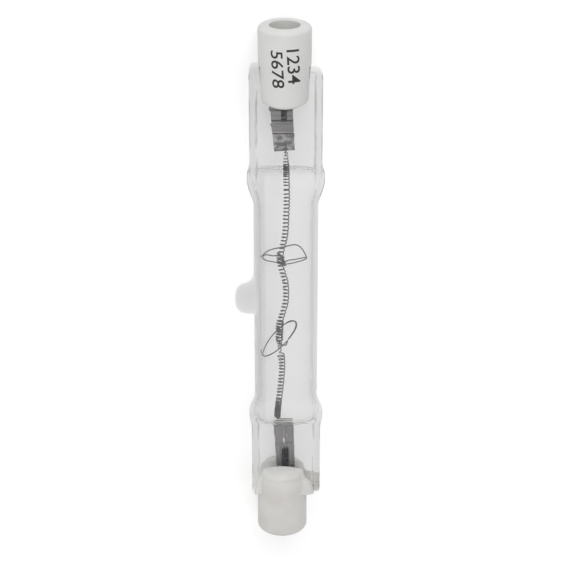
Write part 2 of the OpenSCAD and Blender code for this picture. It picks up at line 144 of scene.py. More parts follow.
# The nodes of a material, or of the world
class Finish:
    def __init__(self, owner, output="ShaderNodeOutputMaterial"):
        self.owner = owner
        owner.use_nodes = True
        self.tree = owner.node_tree
        self.tree.nodes.clear()
        self.output = self.tree.nodes.new(output)

    @property
    def place(self):
        return self.node("ShaderNodeTexCoord", out="Object")

    def node(self, kind, settings=None, sockets=None, out=0):
        made = self.tree.nodes.new(kind)
        for name, value in (settings or {}).items():
            setattr(made, name, value)
        pairs = sockets.items() if isinstance(sockets, dict) else enumerate(sockets or ())
        for name, value in pairs:
            if isinstance(value, Socket):
                self.tree.links.new(value.socket, made.inputs[name])
            else:
                colour = made.inputs[name].type == "RGBA"
                made.inputs[name].default_value = (*value, 1) if colour else value
        return Socket(self, made.outputs[out])

    def axis(self, name, vector=None):
        return self.node("ShaderNodeSeparateXYZ", None, [vector or self.place], name)

    def grain(self, scale, detail=2.0, rough=0.5):
        return self.node("ShaderNodeTexNoise", None,
                         {"Vector": self.place, "Scale": scale, "Detail": detail, "Roughness": rough})

    # Noise with a scale of its own along each axis
    def streaks(self, scales, detail=2.0):
        place = self.node("ShaderNodeMapping", None, {"Vector": self.place, "Scale": scales})
        return self.node("ShaderNodeTexNoise", None, {"Vector": place, "Scale": 1, "Detail": detail})

    # Places in the lamp's own axes
    def across(self, yShare=rollCos, zShare=rollSin):
        y, z = self.axis("Y") - sideShift * mm, self.axis("Z") - rest["tubeR"] * mm
        return y * yShare + z * zShare

    def up(self):
        return self.across(-rollSin, rollCos)

    def bump(self, height, distance):
        return self.node("ShaderNodeBump", None, {"Height": height, "Distance": distance})

    def shine(self, **sockets):
        names = {name.replace("_", " "): value for name, value in sockets.items()}
        return self.node("ShaderNodeBsdfPrincipled", None, names)

    def show(self, shader, volume=None):
        self.tree.links.new(shader.socket, self.output.inputs["Surface"])
        if volume:
            self.tree.links.new(volume.socket, self.output.inputs["Volume"])
        return self.owner


def newFinish(name):
    return Finish(bpy.data.materials.new(name))


# Inside materials lengths are in metres, as the place of a point is
def quartzFinish():
    look = {
        "tubeTint": (0.925, 0.921, 0.922), "pinchTint": (0.86, 0.856, 0.857),
        "sideShadeTint": (0.87, 0.87, 0.87), "cloudTint": (0.895, 0.91, 0.90),
        "ribEdgeShadeTint": (0.42, 0.42, 0.42), "neckShadeTint": (0.78, 0.778, 0.777),
        "tipTint": (0.86, 0.86, 0.86), "clearTint": (0.925, 0.925, 0.925),
        "bandShare": 0.8, "neckShare": 0.9, "cloudShare": 0.2, "ribEdgeShadeShare": 0.85,
        # where each zone begins and is full, outward
        "pinched": {left: (0.0170, 0.0190), right: (0.0196, 0.0214)},
        "pressed": {left: (0.0200, 0.0225), right: (0.0222, 0.0245)},
        "band": (0.0027, 0.0033), "tipped": (0.0045, 0.0049), "neckUp": (0.0005, 0.0010),
        "boreOut": (0.0040, 0.0042), "farSide": (0.0034, 0.0040), "farUp": (-0.0004, 0.0004),
        "pinchEnd": (0.0314, 0.0322),
        # a place with the distances where each mark is full and gone
        "tip": (0.001, 0.005, 0.006), "neck": (-0.0189, 0.0002, 0.0008),
        "foot": (0.00405, 0.00003, 0.0002), "rim": (0.00492, 0.00003, 0.00016),
        "boreSide": (0, 0.0007, 0.0018), "tipReach": (0.0025, 0.0062, 0.0075),
        "drawnScales": (60, 700, 700), "rippleScales": (420, 260, 260), "breakScales": (260, 40, 40),
        "drawn": 0.08, "rippled": 1.6, "relief": 0.000012,
        "haze": 0.012, "index": 1.06, "through": 0.955, "density": 62.0,
    }
    f = newFinish("quartz")
    x, across, up = f.axis("X"), f.across(), f.up()
    outLeft, outRight = x * -1, x
    pinched = outLeft.rise(*look["pinched"][left]).most(outRight.rise(*look["pinched"][right]))
    pressed = outLeft.rise(*look["pressed"][left]).most(outRight.rise(*look["pressed"][right]))
    band = (across * -1).rise(*look["band"])
    tipped = (across * -1).rise(*look["tipped"]) * x.near(*look["tip"])
    cloud = f.grain(180).rise(0.35, 0.75)
    # Painted shade: a darker band along the tube's side toward the tip
    tint = (band * look["bandShare"]).mix(look["tubeTint"], look["sideShadeTint"])
    tint = tipped.mix(pinched.mix(tint, look["pinchTint"]), look["tipTint"])
    # Painted shade: a darker line at the neck of the minus-X end, on the face away from the floor
    neck = x.near(*look["neck"]) * up.rise(*look["neckUp"])
    tint = (neck * look["neckShare"]).mix(tint, look["neckShadeTint"])
    tint = (cloud * look["cloudShare"] * (1 - pinched)).mix(tint, look["cloudTint"])
    # Painted shade: broken dark lines along the edges of the pinch's ribs
    broken = f.streaks(look["breakScales"]).rise(0.37, 0.57)
    lines = across.size().near(*look["foot"]).most(across.size().near(*look["rim"]))
    tint = (lines * broken * pinched * look["ribEdgeShadeShare"]).mix(tint, look["ribEdgeShadeTint"])
    drawn, rippled = f.streaks(look["drawnScales"]), f.streaks(look["rippleScales"], 1.5)
    height = drawn * look["drawn"] + rippled * pressed * look["rippled"]
    glass = f.shine(Base_Color=tint, Roughness=cloud * look["haze"], IOR=look["index"],
                    Transmission_Weight=look["through"], Normal=f.bump(height, look["relief"]))
    # Places that would trap rays let them through unbent, as all of it does for shadows:
    # the pinches' ends, the sides of the bore and the far side of the tube at the tip
    out = (across ** 2 + up ** 2) ** 0.5
    boreSide = (1 - out.rise(*look["boreOut"])) * up.near(*look["boreSide"]) * (1 - pinched)
    farSide = (across * -1).rise(*look["farSide"]) * (1 - up.rise(*look["farUp"]))
    farSide *= x.near(*look["tipReach"])
    unbent = x.size().rise(*look["pinchEnd"]).most(boreSide).most(farSide)
    clear = f.node("ShaderNodeBsdfTransparent", None, {"Color": look["clearTint"]})
    shadowRay = f.node("ShaderNodeLightPath", out="Is Shadow Ray")
    thick = f.node("ShaderNodeVolumeAbsorption", None, {"Color": (0, 0, 0), "Density": look["density"]})
    return f.show(f.node("ShaderNodeMixShader", None, [shadowRay.most(unbent), glass, clear]), thick)


def ceramicFinish():
    look = {
        "body": (0.735, 0.735, 0.72), "dusty": (0.66, 0.655, 0.63), "fleck": (0.62, 0.61, 0.59),
        "warm": (0.65, 0.62, 0.592), "recessShade": (0.55, 0.55, 0.535), "inside": (0.94, 0.935, 0.91),
        "dustyShare": 0.35, "fleckShare": 0.35, "warmShare": 0.35,
        "lowEnd": (0.026, 0.034), "legs": (0.026, 0.028), "paintedLightSlotFace": (-0.00145, 0.0001, 0.0003),
        "recess": (0.0021, 0.0022), "recessX": (0.0355, 0.0365), "recessRim": (0.0370, 0.0388),
        "rimPaler": 0.45, "capShift": 0.00015, "pores": (0.0, 0.28), "relief": 0.000012,
    }
    f = newFinish("ceramic")
    x, across, up = f.axis("X"), f.across(), f.up()
    mottle = f.grain(260, 4).rise(0.4, 0.75)
    fleck = f.grain(2600, 1).rise(0.66, 0.74)
    pores = f.node("ShaderNodeTexVoronoi", None, {"Vector": f.place, "Scale": 1800}, "Distance")
    colour = (mottle * look["dustyShare"]).mix(look["body"], look["dusty"])
    warm = x.rise(*look["lowEnd"]) * (look["warmShare"] + mottle * (1 - look["warmShare"]))
    colour = warm.mix(colour, look["warm"])
    colour = (fleck * look["fleckShare"]).mix(colour, look["fleck"])
    # painted light: the legs' faces toward the glass lie in shade and are made paler than the outside
    inside = up.near(*look["paintedLightSlotFace"]) * x.rise(*look["legs"])
    colour = inside.mix(colour, look["inside"])
    # Painted shade: the recess in the end darkens inward, paler toward its rim
    out = ((across + look["capShift"]) ** 2 + up ** 2) ** 0.5
    recessShade = (1 - x.size().rise(*look["recessRim"]) * look["rimPaler"]) * (1 - out.rise(*look["recess"]))
    colour = (recessShade * x.size().rise(*look["recessX"])).mix(colour, look["recessShade"])
    height = f.grain(900, 3) + pores.rise(*look["pores"]) * 0.5
    return f.show(f.shine(Base_Color=colour, Roughness=0.46 + mottle * 0.16,
                          Normal=f.bump(height, look["relief"])))


def cementFinish():
    look = {
        "low": (0.685, 0.68, 0.655), "high": (0.74, 0.735, 0.715), "far": (0.88, 0.875, 0.85),
        "farUp": (-0.0013, -0.0009), "relief": 0.00006,
    }
    f = newFinish("cement")
    lumps = f.grain(700, 5, 0.65)
    colour = lumps.rise(0.35, 0.7).mix(look["low"], look["high"])
    # painted light: the bead on the far face lies in shade behind the glass and is made pale
    colour = (1 - f.up().rise(*look["farUp"])).mix(colour, look["far"])
    return f.show(f.shine(Base_Color=colour, Roughness=0.82 + lumps * 0.15,
                          Normal=f.bump(lumps, look["relief"])))


def metalFinish(name, base, stained, rough, metallic=1.0, scale=900, gloss=0.5):
    f = newFinish(name)
    stain = f.grain(scale, 3).rise(0.4, 0.7)
    fine = f.grain(scale * 5)
    return f.show(f.shine(Base_Color=stain.mix(base, stained), Metallic=metallic,
                          Specular_IOR_Level=gloss, Roughness=rough + stain * 0.15,
                          Normal=f.bump(fine, 0.000004)))


# The left foil has a blotched weld and painted shade in its creases, the right one folds at its inner
# end, with painted shade in the folds, and a bright scratch. Marks are a place with the distances where
# they are full and gone
def foilFinish(name, side):
    look = {
        "dark": (0.20, 0.197, 0.195), "light": (0.295, 0.29, 0.285), "dull": (0.255, 0.25, 0.255),
        "dullShare": 0.5, "metallic": 0.85, "relief": 0.00001,
        "lineScales": {left: (4200, 160, 160), right: (120, 5200, 5200)},
        "weld": (-0.0237, -0.0235), "weldDark": (0.15, 0.147, 0.15), "weldLight": (0.40, 0.39, 0.395),
        "weldShare": 0.85, "blotchScales": (1500, 1100, 1100), "creaseShade": (0.035, 0.034, 0.035),
        "creases": [(-0.02368, 0.00011, 0.85), (-0.02552, 0.0001, 0.8), (-0.02700, 0.00008, 0.6)],
        "pale": (0.80, 0.79, 0.75), "paleEnd": (0.0213, 0.0215), "fold": (0.02, 0.019, 0.017),
        "folds": [(0.02063, 0.00008, 0.00014), (0.02101, 0.00008, 0.00014)],
        "scratch": (0.62, 0.62, 0.62), "scratchAt": (0.0242, 0.0006, 0.0011), "scratchShare": 0.8,
        "scratchScales": (900, 2600, 2600),
    }
    f = newFinish(name)
    x = f.axis("X")
    mottle = f.grain(1500, 3).rise(0.38, 0.66)
    lines = f.streaks(look["lineScales"][side])
    colour = lines.rise(0.3, 0.7).mix(look["dark"], look["light"])
    colour = (mottle * look["dullShare"]).mix(colour, look["dull"])
    if side == left:
        blotch = f.streaks(look["blotchScales"]).rise(0.40, 0.62)
        blotch = blotch.mix(look["weldDark"], look["weldLight"])
        colour = (x.rise(*look["weld"]) * look["weldShare"]).mix(colour, blotch)
        swayed = x + (f.grain(300, 1) - 0.5) * 0.00025
        # Painted shade darkens the creases
        for place, wide, depth in look["creases"]:
            colour = (swayed.near(place, wide * 0.3, wide) * depth).mix(colour, look["creaseShade"])
    else:
        colour = (1 - x.rise(*look["paleEnd"])).mix(colour, look["pale"])
        # Painted shade darkens the folds
        for fold in look["folds"]:
            colour = x.near(*fold).mix(colour, look["fold"])
        scratch = f.streaks(look["scratchScales"], 1.5).rise(0.60, 0.66) * x.near(*look["scratchAt"])
        colour = (scratch * look["scratchShare"]).mix(colour, look["scratch"])
    return f.show(f.shine(Base_Color=colour, Metallic=look["metallic"], Roughness=0.34 + mottle * 0.2,
                          Normal=f.bump(lines + mottle * 0.5, look["relief"])))


# The coil's wire is itself a fine coil, which shows as a thread along the wire
def coilFinish():
    look = {
        "groove": (0.05, 0.05, 0.052), "ridge": (0.16, 0.16, 0.162), "aged": (0.07, 0.07, 0.072),
        "agedShare": 0.4, "metallic": 0.9, "relief": 0.00002,
    }
    f = newFinish("tungsten")
    onWire = f.node("ShaderNodeUVMap", {"uv_map": "wire"})
    along, around = f.axis("X", onWire), f.axis("Y", onWire)
    thread = (along + around * (2 * math.pi)).wave() * 0.5 + 0.5
    aged = f.grain(500, 3).rise(0.4, 0.7)
    # Painted shade: the fine thread's grooves are darker and its ridges lighter
    colour = thread.mix(look["groove"], look["ridge"])
    colour = (aged * look["agedShare"]).mix(colour, look["aged"])
    return f.show(f.shine(Base_Color=colour, Metallic=look["metallic"], Roughness=0.38 + aged * 0.15,
                          Normal=f.bump(thread, look["relief"])))


finishes = {
    "quartz": quartzFinish(),
    "ceramic": ceramicFinish(),
    "cement": cementFinish(),
    "contact": metalFinish("contactMetal", (0.70, 0.69, 0.66), (0.55, 0.54, 0.50), 0.28),
    "leftFoil": foilFinish("leftFoilMetal", left),
    "rightFoil": foilFinish("rightFoilMetal", right),
    "outerLead": metalFinish("outerLeadMetal", (0.004, 0.004, 0.006), (0.04, 0.04, 0.05), 0.5,
                             metallic=0.0, scale=2600, gloss=0.08),
    "paleLead": metalFinish("paleLeadMetal", (0.02, 0.02, 0.022), (0.16, 0.16, 0.165), 0.5,
                            metallic=0.0, scale=2200, gloss=0.2),
    "innerLead": metalFinish("innerLeadMetal", (0.30, 0.30, 0.30), (0.20, 0.20, 0.20), 0.4),
    "coil": coilFinish(),
    "support": metalFinish("supportMetal", (0.11, 0.11, 0.112), (0.06, 0.06, 0.061), 0.4),
    "ink": metalFinish("blackInk", (0.012, 0.012, 0.014), (0.03, 0.03, 0.03), 0.55, metallic=0.0),
}
print("finishes made")


# Edges sharper than the angle stay sharp
def keep(name, mesh, material, node=None, angle=None):
    if angle:
        mesh.shade_smooth()
        mesh.set_sharp_from_angle(angle=math.radians(angle))
    piece = placed(name, mesh)
    mesh.materials.clear()
    mesh.materials.append(finishes[material])
    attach(piece, "root")
    if node:
        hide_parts(node)


# The mesh of an object with its modifiers or its text worked out
def workedOut(made):
    bpy.context.view_layer.update()
    return bpy.data.meshes.new_from_object(made.evaluated_get(bpy.context.evaluated_depsgraph_get()))


def outward(mesh):
    bm = bmesh.new()
    bm.from_mesh(mesh)
    bmesh.ops.recalc_face_normals(bm, faces=bm.faces)
    bm.to_mesh(mesh)
    bm.free()
    return mesh


# Rows of n points each, joined into a closed skin
def skinFaces(rows, n, first=0, flip=False):
    faces = []
    for k in range(rows - 1):
        for i in range(n):
            a, b = first + k * n + i, first + k * n + (i + 1) % n
            face = (a, b, b + n, a + n)
            faces.append(face[::-1] if flip else face)
    faces.append(tuple(first + i for i in range(n))[::(1 if flip else -1)])
    last = first + (rows - 1) * n
    faces.append(tuple(last + i for i in range(n))[::(-1 if flip else 1)])
    return faces


def meshOf(name, points, faces):
    mesh = bpy.data.meshes.new(name)
    mesh.from_pydata([lie(*p) for p in points], [], faces)
    mesh.validate()
    return mesh


def mixed(a, b, share):
    return a + (b - a) * share


def eased(share):
    share = min(max(share, 0), 1)
    return share * share * (3 - 2 * share)


# Quartz: one skin outside and one round the hollow. Places are outward from the middle
quartz = {
    "around": 128, "wall": 0.95, "swellRings": 12, "neckRings": 16, "filletRings": 6, "endRings": 12,
    "pinchStep": 0.35, "boreRings": 60, "tubeRings": {left: 18, right: 20},
    "shoulderHalf": (5.395, 3.9), "pinchHalf": (5.0, 1.2), "neckLen": 2.1, "fillet": 0.35,
    "ribR": 0.45, "ribFoot": 3.6, "cornerR": {left: 1.0, right: 0.55}, "edgeR": 0.3,
    "neck": {left: 19.1, right: 21.6}, "tubeEnd": {left: 13.0, right: 16.5}, "pinchEnd": 32.5,
    "longer": {left: 0.52, right: 0.0}, "skew": {left: -0.08, right: 0.0},
    "sealDepth": 0.8, "throatHalf": (3.2, 0.3),
    "throatEnd": [(0.1, 0.8), (0.16, 0.45), (0.18, 0.08)],
    "tipX": 1.2, "patch": 20, "footRing": 15, "capRing": 10, "patchReach": 4.3, "drawn": 1.4,
    "tipFillets": (0.15, 0.6), "inside": 0.005,
}


def pinchPoint(k, quarter):
    w, t = quartz["pinchHalf"]
    r = quartz["ribR"]
    share = k / quarter
    if share < 0.16:
        return w, t * share / 0.16
    if share < 0.34:
        a = math.radians(90) * (share - 0.16) / 0.18
        return w - r + r * math.cos(a), t + r * math.sin(a)
    if share < 0.6:
        s = (share - 0.34) / 0.26
        return mixed(w - r, quartz["ribFoot"], s), t + r * (0.5 + 0.5 * math.cos(math.pi * s ** 0.8))
    return mixed(quartz["ribFoot"], 0, (share - 0.6) / 0.4), t


# A ring at x: oval with half width w and half thickness t, and share of the pinch's own outline
def quartzRing(x, w, t, pinched=0.0, halfWidth=9.0, drop=0.0, flat=None):
    n = quartz["around"]
    quarter = n // 4
    ring = []
    for i in range(n):
        a = 2 * math.pi * i / n
        y, z = w * math.cos(a), t * math.sin(a)
        if pinched:
            fold = i % (2 * quarter)
            py, pz = pinchPoint(min(fold, 2 * quarter - fold), quarter)
            py = min(py, halfWidth) - drop * (py > 2)
            pz = max(pz - drop, 0)
            py *= 1 if i <= quarter or i >= 3 * quarter else -1
            pz *= 1 if i <= 2 * quarter else -1
            y, z = mixed(y, py, pinched), mixed(z, pz, pinched if flat is None else flat)
        ring.append((x, y, z))
    return ring


# The angles of a quarter turn in equal steps, from 0 or back to it
def quarterTurn(steps, back=False):
    return [math.radians(90) * (1 - i / steps if back else i / steps) for i in range(1, steps + 1)]


# Rings from the tube's end to the shoulder, as radius r grows to the shoulder's half sizes
def swellRings(side, r, half):
    q = quartz
    tubeEnd, wide, steps = q["tubeEnd"][side], q["neck"][side] - q["neckLen"], q["swellRings"]
    rings = []
    for i in range(1, steps + 1):
        share = (1 - math.cos(math.pi * i / steps)) / 2
        rings.append(quartzRing(side * mixed(tubeEnd, wide, i / steps),
                                mixed(r, half[0], share), mixed(r, half[1], share)))
    return rings


# Rings outward from the tube's end to the pinch's end, for one side
def outerRings(side):
    q = quartz
    neck, corner = q["neck"][side], q["cornerR"][side]
    (sw, st), (pw, pt) = q["shoulderHalf"], q["pinchHalf"]
    rings = swellRings(side, rest["tubeR"], (sw, st))
    rise = q["fillet"] / (st - pt)
    falls = [(neck - q["neckLen"] * (1 - math.cos(a)), rise + (1 - rise) * math.sin(a))
             for a in quarterTurn(q["neckRings"], True)]
    falls += [(neck + q["fillet"] * (1 - math.cos(a)), rise * (1 - math.sin(a)))
              for a in quarterTurn(q["filletRings"])]
    for x, m in falls:
        flat = eased((x - neck + q["neckLen"]) / (q["neckLen"] + q["fillet"]))
        rings.append(quartzRing(side * x, mixed(pw, sw, m), mixed(st, pt, flat), 1 - m, flat=flat))
    start, end = neck + q["fillet"], q["pinchEnd"] - corner
    steps = round((end - start) / q["pinchStep"])
    pinch = [quartzRing(side * mixed(start, end, i / steps), pw, pt, 1.0) for i in range(1, steps + 1)]
    for a in quarterTurn(q["endRings"]):
        x = end + corner * math.sin(a)
        edge = max(x - (q["pinchEnd"] - q["edgeR"]), 0)
        drop = q["edgeR"] - math.sqrt(max(q["edgeR"] ** 2 - edge ** 2, 0))
        pinch.append(quartzRing(side * x, pw, pt, 1.0, pw - corner * (1 - math.cos(a)), drop))
    for ring in pinch:
        share = (abs(ring[0][0]) - start) / (q["pinchEnd"] - start)
        rings.append([(x + side * (q["longer"][side] + q["skew"][side] * y) * share ** 2, y, z)
                      for x, y, z in ring])
    return rings


def innerRings(side):
    q = quartz
    neck = q["neck"][side]
    sw, st = (h - q["wall"] for h in q["shoulderHalf"])
    tw, tt = q["throatHalf"]
    rings = swellRings(side, rest["tubeR"] - q["wall"], (sw, st))
    for a in quarterTurn(q["neckRings"], True):
        x = neck - mixed(q["sealDepth"], q["neckLen"], 1 - math.cos(a))
        rings.append(quartzRing(side * x, mixed(tw, sw, math.sin(a)), mixed(tt, st, math.sin(a))))
    for depth, shrink in q["throatEnd"]:
        x = neck - q["sealDepth"] + depth
        rings.append(quartzRing(side * x, tw - 0.3 * (1 - shrink), tt * shrink))
    return rings


# Ring on the exhaust tip at height h over the tube's axis
def tipSpot(height, r, drawn, psi):
    across = (r + drawn / 2) * math.cos(psi)
    return quartz["tipX"] - drawn / 2 + across, -height, r * math.sin(psi)


# Places of the tip's patch on the tube, by ring from its border (ring "patch") to the top (0)
def tipPoint(ring, psi, border):
    q, r = quartz, rest["tubeR"]
    foot, cap = q["footRing"], q["capRing"]
    fillet = mixed(*q["tipFillets"], (1 - math.cos(psi)) / 2)
    footX, _, footZ = tipSpot(0, rest["tipR"] + fillet, q["drawn"], psi)
    if ring >= foot:
        share = (ring - foot) / (q["patch"] - foot)
        x = mixed(footX, border[0], share)
        angle = mixed(math.asin(footZ / r), math.asin(max(-1, min(1, border[2] / r))), share)
        return x, -r * math.cos(angle), r * math.sin(angle)
    if ring >= cap:
        a = math.radians(90) * (foot - ring) / (foot - cap)
        spread = 1 - math.sin(a)
        x, _, z = tipSpot(0, rest["tipR"] + fillet * spread, q["drawn"] * spread ** 0.8, psi)
        share = 1 - math.cos(a) ** 1.3 if ring > cap else 1
        return x, -mixed(math.sqrt(r * r - footZ * footZ), tipCoreY, share), z
    a = math.radians(90) * (cap - ring) / cap
    flat = tipCoreR * min(1, ring / 1.5)
    edge = rest["tipEdgeR"] - q["inside"]
    return tipSpot(tipCoreY + edge * math.sin(a), flat + edge * math.cos(a), 0, psi)


def quartzPiece():
    q = quartz
    n, patch = q["around"], q["patch"]
    r = rest["tubeR"]
    lowX, highX = q["tipX"] - q["patchReach"], q["tipX"] + q["patchReach"]
    first, after = q["tubeRings"][left], q["tubeRings"][right]
    stations = [mixed(-q["tubeEnd"][left], lowX, i / first) for i in range(first)]
    stations += [mixed(lowX, highX, i / (2 * patch)) for i in range(2 * patch + 1)]
    stations += [mixed(highX, q["tubeEnd"][right], i / after) for i in range(1, after + 1)]
    tube = [quartzRing(x, r, r) for x in stations]
    centre = n // 2
    for a in range(-patch, patch + 1):
        for b in range(-patch, patch + 1):
            reach = max(abs(a), abs(b))
            if reach == patch:
                continue
            if reach == 0:
                tube[first + patch][centre] = (q["tipX"], -rest["tipTop"] + q["inside"], 0)
                continue
            if abs(a) >= abs(b):
                psi = math.pi / 4 * b / a + (math.pi if a < 0 else 0)
            else:
                psi = math.pi / 2 - math.pi / 4 * a / b + (math.pi if b < 0 else 0)
            borderX = q["tipX"] + q["patchReach"] * (a * patch / reach) / patch
            angle = 2 * math.pi * (b * patch / reach) / n
            border = (borderX, -r * math.cos(angle), r * math.sin(angle))
            tube[first + patch + a][centre - b] = tipPoint(reach, psi, border)
    outer = outerRings(left)[::-1] + tube + outerRings(right)
    bore, steps = r - q["wall"], q["boreRings"]
    inner = innerRings(left)[::-1]
    inner += [quartzRing(mixed(-q["tubeEnd"][left], q["tubeEnd"][right], i / steps), bore, bore)
              for i in range(steps + 1)]
    inner += innerRings(right)
    points = [p for ring in outer + inner for p in ring]
    faces = skinFaces(len(outer), n) + skinFaces(len(inner), n, len(outer) * n, True)
    keep("quartzEnvelope", meshOf("quartzEnvelope", points, faces), "quartz", "quartz_envelope",
         50)


quartzPiece()
print("quartz made")


def arc(centre, r, start, end, steps):
    angles = [math.radians(mixed(start, end, i / steps)) for i in range(steps + 1)]
    return [(centre[0] + r * math.cos(a), centre[1] + r * math.sin(a)) for a in angles]


cap = {
    "end": 39.0, "r": {left: 3.63, right: 3.66}, "rAtLeg": {left: 3.53, right: 3.61}, "edgeR": 0.7,
    "slotFloor": {left: 33.6, right: 32.75}, "legEnd": {left: 28.2, right: 28.55},
    "legEdgeR": {left: 0.4, right: 1.3}, "around": 96,
    "crown": 0.7, "slotHalf": 1.45, "recessR": 2.075, "recessDepth": 2.0, "rimR": 0.18,
    "seatR": 1.7, "seatDepth": 0.7, "boreR": 1.1, "bevel": 0.22,
    "shift": {left: -0.15, right: -0.55},
}


# The head narrows a little toward its legs
def capWall(side, x):
    legEnd = cap["legEnd"][side]
    share = (x - legEnd) / (cap["end"] - cap["edgeR"] - legEnd)
    return mixed(cap["rAtLeg"][side], cap["r"][side], min(max(share, 0), 1))


def capPiece(side, name, node):
    c = cap
    face, floor, slotFloor = c["end"], c["end"] - c["recessDepth"], c["slotFloor"][side]
    legEnd, legR = c["legEnd"][side], c["legEdgeR"][side]
    profile = [(legEnd, c["boreR"])]
    profile += arc((legEnd + legR, capWall(side, legEnd + legR) - legR), legR, 180, 90, 10)
    profile += arc((face - c["edgeR"], c["r"][side] - c["edgeR"]), c["edgeR"], 90, 0, 10)
    profile += arc((face - c["rimR"], c["recessR"] + c["rimR"]), c["rimR"], 0, -90, 5)
    profile += [(floor + 0.12, c["recessR"]), (floor, c["recessR"] - 0.12), (floor, c["seatR"]),
                (floor - c["seatDepth"], c["seatR"]), (floor - c["seatDepth"], c["boreR"])]
    around = c["around"]
    turns = [2 * math.pi * i / around for i in range(around)]
    points = [(x, r * math.cos(a), r * math.sin(a)) for x, r in profile for a in turns]
    faces = []
    for k in range(len(profile)):
        row, nextRow = k * around, (k + 1) % len(profile) * around
        faces += [(row + i, row + (i + 1) % around, nextRow + (i + 1) % around, nextRow + i)
                  for i in range(around)]
    mesh = bpy.data.meshes.new(name)
    mesh.from_pydata(points, [], faces)
    body = placed(name + "Blank", outward(mesh))
    bm = bmesh.new()
    bmesh.ops.create_cube(bm, size=1)
    for v in bm.verts:
        v.co = Vector((slotFloor - 5 + v.co.x * 10, v.co.y * 12, v.co.z * 2 * c["slotHalf"]))
    cutterMesh = bpy.data.meshes.new("slotCutter")
    bm.to_mesh(cutterMesh)
    bm.free()
    cutter = placed("slotCutter", cutterMesh)
    cut = body.modifiers.new("slot", "BOOLEAN")
    cut.operation, cut.object, cut.solver = "DIFFERENCE", cutter, "EXACT"
    shaped = workedOut(body)
    for made in (body, cutter):
        bpy.data.objects.remove(made)
    bm = bmesh.new()
    bm.from_mesh(shaped)
    bmesh.ops.remove_doubles(bm, verts=bm.verts, dist=0.01)
    bmesh.ops.dissolve_limit(bm, angle_limit=math.radians(0.6), verts=bm.verts, edges=bm.edges)
    sharp = [e for e in bm.edges if len(e.link_faces) == 2 and e.calc_face_angle() > math.radians(35)
             and min(v.co.x for v in e.verts) < slotFloor + 0.1
             and max(math.hypot(v.co.y, v.co.z) for v in e.verts) > c["boreR"] + 0.4]
    bmesh.ops.bevel(bm, geom=sharp, offset=c["bevel"], segments=3, profile=0.5, affect="EDGES",
                    clamp_overlap=True)
    for v in bm.verts:
        x, y, z = v.co
        leg = max(slotFloor - x, 0) / (slotFloor - legEnd)
        x += c["crown"] * (y / c["r"][side]) ** 2 * leg
        v.co = lie(side * x, y + c["shift"][side], z)
    bm.to_mesh(shaped)
    bm.free()
    keep(name, outward(shaped), "ceramic", node, 32)


capPiece(left, "leftCeramicCap", "left_ceramic_cap")
capPiece(right, "rightCeramicCap", "right_ceramic_cap")
print("caps made")

for nodeName in ("left_contact", "right_contact"):
    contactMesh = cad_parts[nodeName].data
    contactMesh.materials.clear()
    contactMesh.materials.append(finishes["contact"])


# Two grids of points, one over the other, closed round their rim
def sheetFaces(nx, ny, first):
    n = ny + 1
    base = first + (nx + 1) * n
    faces = []
    for i in range(nx):
        for j in range(ny):
            a, b = first + i * n + j, base + i * n + j
            faces.append((a, a + n, a + n + 1, a + 1))
            faces.append((b, b + 1, b + n + 1, b + n))
    rim = [i * n for i in range(nx + 1)] + [nx * n + j for j in range(1, n)]
    rim += [i * n + ny for i in range(nx - 1, -1, -1)] + [j for j in range(ny - 1, 0, -1)]
    for a, b in zip(rim, rim[1:] + rim[:1]):
        faces.append((first + a, base + a, base + b, first + b))
    return faces


# Value at x on a line through the given (x, value) pairs
def onLine(pairs, x):
    if x <= pairs[0][0]:
        return pairs[0][1]
    for (a, va), (b, vb) in zip(pairs, pairs[1:]):
        if x <= b:
            return mixed(va, vb, (x - a) / (b - a))
    return pairs[-1][1]


# Cement on each face of the pinch: its two edges along the lamp, and its height at each edge
cement = {
    "foot": 1.12, "roundness": 1.0, "margin": 0.03, "grid": (60, 80), "grain": 1.6,
    "slabHalf": 3.1, "spill": (3.2, 4.85, -1.3, 0.5, 0.2),
    left: {
        "toe": 0.1, "fill": 0.25, "lump": 0.05,
        1: {"low": [(28.3, -3.2), (33.4, -3.5)], "high": [(28.3, 2.9), (33.4, 3.2)],
            "heights": (0.28, 0.28)},
        -1: {"low": [(28.3, -3.3), (33.4, -3.7)], "high": [(28.3, 3.0), (33.4, 3.4)],
             "heights": (0.3, 0.3)},
    },
    right: {
        "toe": 0.35, "fill": 2.5, "lump": 0.02,
        1: {"low": [(28.3, -3.4), (29.3, -3.9), (30.5, -4.35), (32.6, -4.7)],
            "high": [(28.3, 2.45), (29.1, 2.7), (29.64, 2.95), (30.28, 3.66), (31.36, 4.04),
                     (32.6, 4.15)],
            "heights": (0.75, 1.0)},
        -1: {"low": [(28.3, -3.3), (29.0, -3.9), (32.6, -4.3)],
             "high": [(28.3, 2.5), (29.8, 2.9), (29.95, 4.9), (32.6, 4.9)], "heights": (0.5, 0.35),
             "over": 0.22},
    },
}


# How far the pinch's face stands out at y, for its ribs
def ribRise(y):
    r, edge = quartz["ribR"], quartz["pinchHalf"][0] - quartz["ribR"]
    if abs(y) > edge:
        return math.sqrt(max(r * r - (abs(y) - edge) ** 2, 0))
    s = (edge - abs(y)) / (edge - quartz["ribFoot"])
    return r * (0.5 + 0.5 * math.cos(math.pi * min(s, 1) ** 0.8))


# A quarter circle's height at a distance from its foot
def rounded(gap, width=1.0):
    return math.sqrt(max(1 - (1 - min(gap / width, 1)) ** 2, 0))


